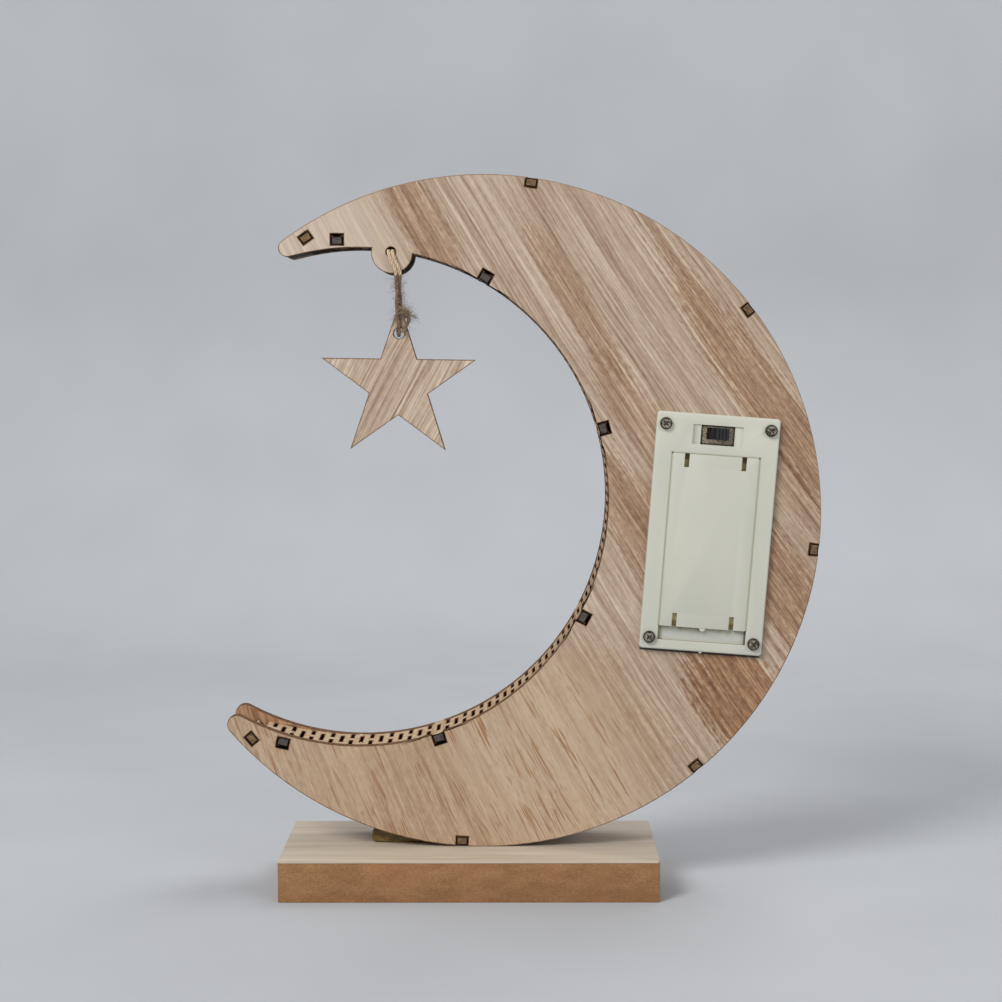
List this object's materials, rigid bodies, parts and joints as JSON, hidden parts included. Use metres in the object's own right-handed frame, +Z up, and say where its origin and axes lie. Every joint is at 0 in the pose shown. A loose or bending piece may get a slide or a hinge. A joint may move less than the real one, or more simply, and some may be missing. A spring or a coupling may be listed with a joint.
{
  "type": "lit crescent ornament with hanging star",
  "caption": "Hollow plywood crescent with kerf-bent edges on a rectangular wooden foot, a battery case screwed to its back and a star hanging on twine from its upper horn.",
  "frame": {"origin": "Middle of the foot's underside", "axes": "+Z up, +X to the right seen from the back with the battery case, +Y towards the lamp side"},
  "size_m": [0.2123, 0.058, 0.2546],
  "materials": {
    "fibreboard": "bare",
    "veneer": "bare",
    "glue": "glossy",
    "plywood": "bare",
    "star_plywood": "bare",
    "lamp": "glossy",
    "copper_wire": "bare",
    "ivory_plastic": "satin",
    "dark_steel": "blackened",
    "cell_label": "glossy",
    "plated_steel": "plated",
    "brown_laminate": "matte",
    "black_plastic": "satin",
    "twine": "fibrous"
  },
  "bodies": {
    "ornament": {"base_block": "fibreboard", "base_veneer": "veneer", "glue_bead": "glue", "back_panel": "plywood", "front_panel": "plywood", "inner_edge_band": "plywood", "outer_edge_band": "plywood", "lamp_bulbs": "lamp", "lamp_wiring": "copper_wire", "battery_case": "ivory_plastic", "case_screws": "dark_steel", "cell_left": "cell_label", "cell_right": "cell_label", "end_contacts": "plated_steel", "bridge_contact": "plated_steel", "contact_springs": "plated_steel", "switch_shell": "plated_steel", "switch_base": "brown_laminate", "twine_hitch": "twine"},
    "lid": {"battery_lid": "ivory_plastic"},
    "knob": {"switch_knob": "black_plastic"},
    "twine_swing": {"twine_upper": "twine"},
    "twine_tilt": {"twine_lower": "twine"},
    "hanging_star": {"star": "star_plywood", "twine_loop": "twine", "twine_knot": "twine"}
  },
  "joints": [
    {"name": "lid_slide", "type": "slide", "parent": "ornament", "child": "lid", "axis": [-0.075, 0, -0.9972], "range_m": [0, 0.0035]},
    {"name": "switch_slide", "type": "slide", "parent": "ornament", "child": "knob", "axis": [-0.9972, 0, 0.075], "range_m": [0, 0.003]},
    {"name": "star_swing", "type": "hinge", "parent": "ornament", "child": "twine_swing", "pos_m": [-0.0246, -0.0094, 0.2193], "axis": [0, 1, 0], "range_deg": [-25, 25]},
    {"name": "star_tilt", "type": "hinge", "parent": "twine_swing", "child": "twine_tilt", "pos_m": [-0.0246, -0.0094, 0.2193], "axis": [1, 0, 0], "range_deg": [-30, 30]},
    {"name": "star_turn", "type": "hinge", "parent": "twine_tilt", "child": "hanging_star", "pos_m": [-0.0246, -0.0094, 0.2193], "axis": [0, 0, 1], "range_deg": [-90, 90]}
  ]
}
